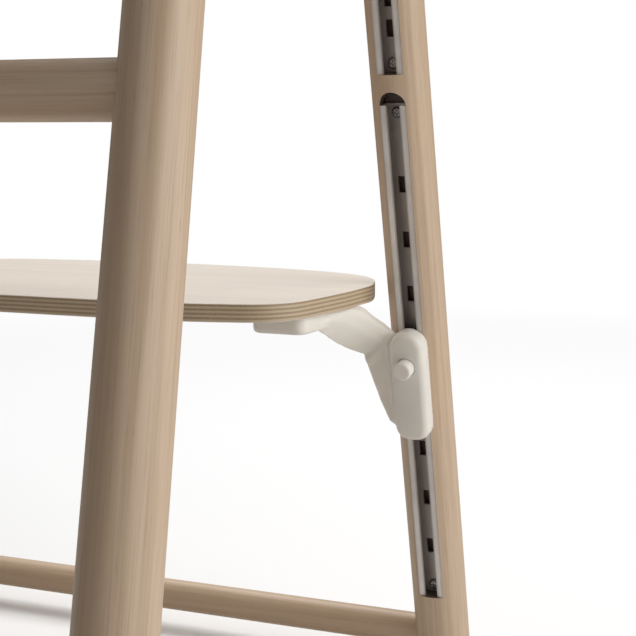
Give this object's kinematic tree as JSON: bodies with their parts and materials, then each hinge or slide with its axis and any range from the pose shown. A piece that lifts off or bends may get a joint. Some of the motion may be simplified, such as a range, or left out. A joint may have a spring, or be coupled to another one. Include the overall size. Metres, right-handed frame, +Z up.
{
  "type": "baby high chair",
  "caption": "Wooden baby high chair on splayed round legs, with seat and footrest plates that slide on slotted rails and lock with push buttons.",
  "frame": {"origin": "middle of the footprint, on the floor", "axes": "+Z up, -Y to the front of the chair, +X to the child's left"},
  "size_m": [0.5492, 0.5665, 0.836],
  "materials": {
    "beech": "satin whitewashed beech",
    "plywood": "satin whitewashed birch plywood, plies showing at the edge",
    "moulding": "satin off-white",
    "aluminium": "satin anodised, warm grey",
    "steel": "zinc plated",
    "nylon": "matte",
    "felt": "matte"
  },
  "bodies": {
    "frame": {"front_leg_left": "beech", "front_leg_right": "beech", "rear_leg_left": "beech", "rear_leg_right": "beech", "foot_glides": "felt", "front_stretcher": "beech", "rear_stretcher": "beech", "stretcher_dowels": "beech", "footrest_rail_left": "aluminium", "footrest_rail_right": "aluminium", "seat_rail_left": "aluminium", "seat_rail_right": "aluminium", "rail_screws": "steel", "top_joint_left": "moulding", "top_joint_right": "moulding", "joint_screws": "steel", "backrest": "plywood", "backrest_screws": "steel", "guard_pivots": "steel"},
    "footrest": {"footrest_plate": "plywood", "footrest_bracket_left": "moulding", "footrest_bracket_right": "moulding", "footrest_cover_left": "moulding", "footrest_cover_right": "moulding", "footrest_shoes": "nylon", "footrest_screws": "steel", "footrest_latch_pins": "steel", "footrest_spring_left": "steel", "footrest_spring_right": "steel"},
    "footrest_button_left": {"footrest_button_left": "moulding"},
    "footrest_latch_left": {"footrest_latch_left": "steel"},
    "footrest_button_right": {"footrest_button_right": "moulding"},
    "footrest_latch_right": {"footrest_latch_right": "steel"},
    "seat": {"seat_plate": "plywood", "seat_bracket_left": "moulding", "seat_bracket_right": "moulding", "seat_cover_left": "moulding", "seat_cover_right": "moulding", "seat_shoes": "nylon", "seat_screws": "steel", "seat_latch_pins": "steel", "seat_spring_left": "steel", "seat_spring_right": "steel"},
    "seat_button_left": {"seat_button_left": "moulding"},
    "seat_latch_left": {"seat_latch_left": "steel"},
    "seat_button_right": {"seat_button_right": "moulding"},
    "seat_latch_right": {"seat_latch_right": "steel"},
    "guard": {"guard_bar": "beech", "crotch_post": "moulding", "crotch_screws": "steel"}
  },
  "joints": [
    {"name": "footrest_slide", "type": "slide", "parent": "frame", "child": "footrest", "axis": [0, 0.2164, 0.9763], "range_m": [-0.1065, 0.1065]},
    {"name": "footrest_button_left_press", "type": "slide", "parent": "footrest", "child": "footrest_button_left", "axis": [0, -0.9763, 0.2164], "range_m": [0, 0.0035], "stiffness_N_per_m": 900, "springref_m": -0.002, "deforming": ["footrest_spring_left"]},
    {"name": "footrest_latch_left_rock", "type": "hinge", "parent": "footrest", "child": "footrest_latch_left", "pos_m": [0.215, -0.19551, 0.20645], "axis": [1, 0, 0], "range_deg": [0, 14.33]},
    {"name": "footrest_button_right_press", "type": "slide", "parent": "footrest", "child": "footrest_button_right", "axis": [0, -0.9763, 0.2164], "range_m": [0, 0.0035], "stiffness_N_per_m": 900, "springref_m": -0.002, "deforming": ["footrest_spring_right"]},
    {"name": "footrest_latch_right_rock", "type": "hinge", "parent": "footrest", "child": "footrest_latch_right", "pos_m": [-0.215, -0.19551, 0.20645], "axis": [1, 0, 0], "range_deg": [0, 14.33]},
    {"name": "seat_slide", "type": "slide", "parent": "frame", "child": "seat", "axis": [0, 0.2164, 0.9763], "range_m": [-0.054, 0.054]},
    {"name": "seat_button_left_press", "type": "slide", "parent": "seat", "child": "seat_button_left", "axis": [0, -0.9763, 0.2164], "range_m": [0, 0.0035], "stiffness_N_per_m": 900, "springref_m": -0.002, "deforming": ["seat_spring_left"]},
    {"name": "seat_latch_left_rock", "type": "hinge", "parent": "seat", "child": "seat_latch_left", "pos_m": [0.215, -0.13232, 0.49145], "axis": [1, 0, 0], "range_deg": [0, 14.33]},
    {"name": "seat_button_right_press", "type": "slide", "parent": "seat", "child": "seat_button_right", "axis": [0, -0.9763, 0.2164], "range_m": [0, 0.0035], "stiffness_N_per_m": 900, "springref_m": -0.002, "deforming": ["seat_spring_right"]},
    {"name": "seat_latch_right_rock", "type": "hinge", "parent": "seat", "child": "seat_latch_right", "pos_m": [-0.215, -0.13232, 0.49145], "axis": [1, 0, 0], "range_deg": [0, 14.33]},
    {"name": "guard_swing", "type": "hinge", "parent": "frame", "child": "guard", "pos_m": [0, -0.10023, 0.75], "axis": [-1, 0, 0], "range_deg": [0, 105]}
  ],
  "couplings": [
    {"joint": "footrest_latch_left_rock", "follows": "footrest_button_left_press", "rad_per_m": 68.966},
    {"joint": "footrest_latch_right_rock", "follows": "footrest_button_right_press", "rad_per_m": 68.966},
    {"joint": "seat_latch_left_rock", "follows": "seat_button_left_press", "rad_per_m": 68.966},
    {"joint": "seat_latch_right_rock", "follows": "seat_button_right_press", "rad_per_m": 68.966}
  ]
}
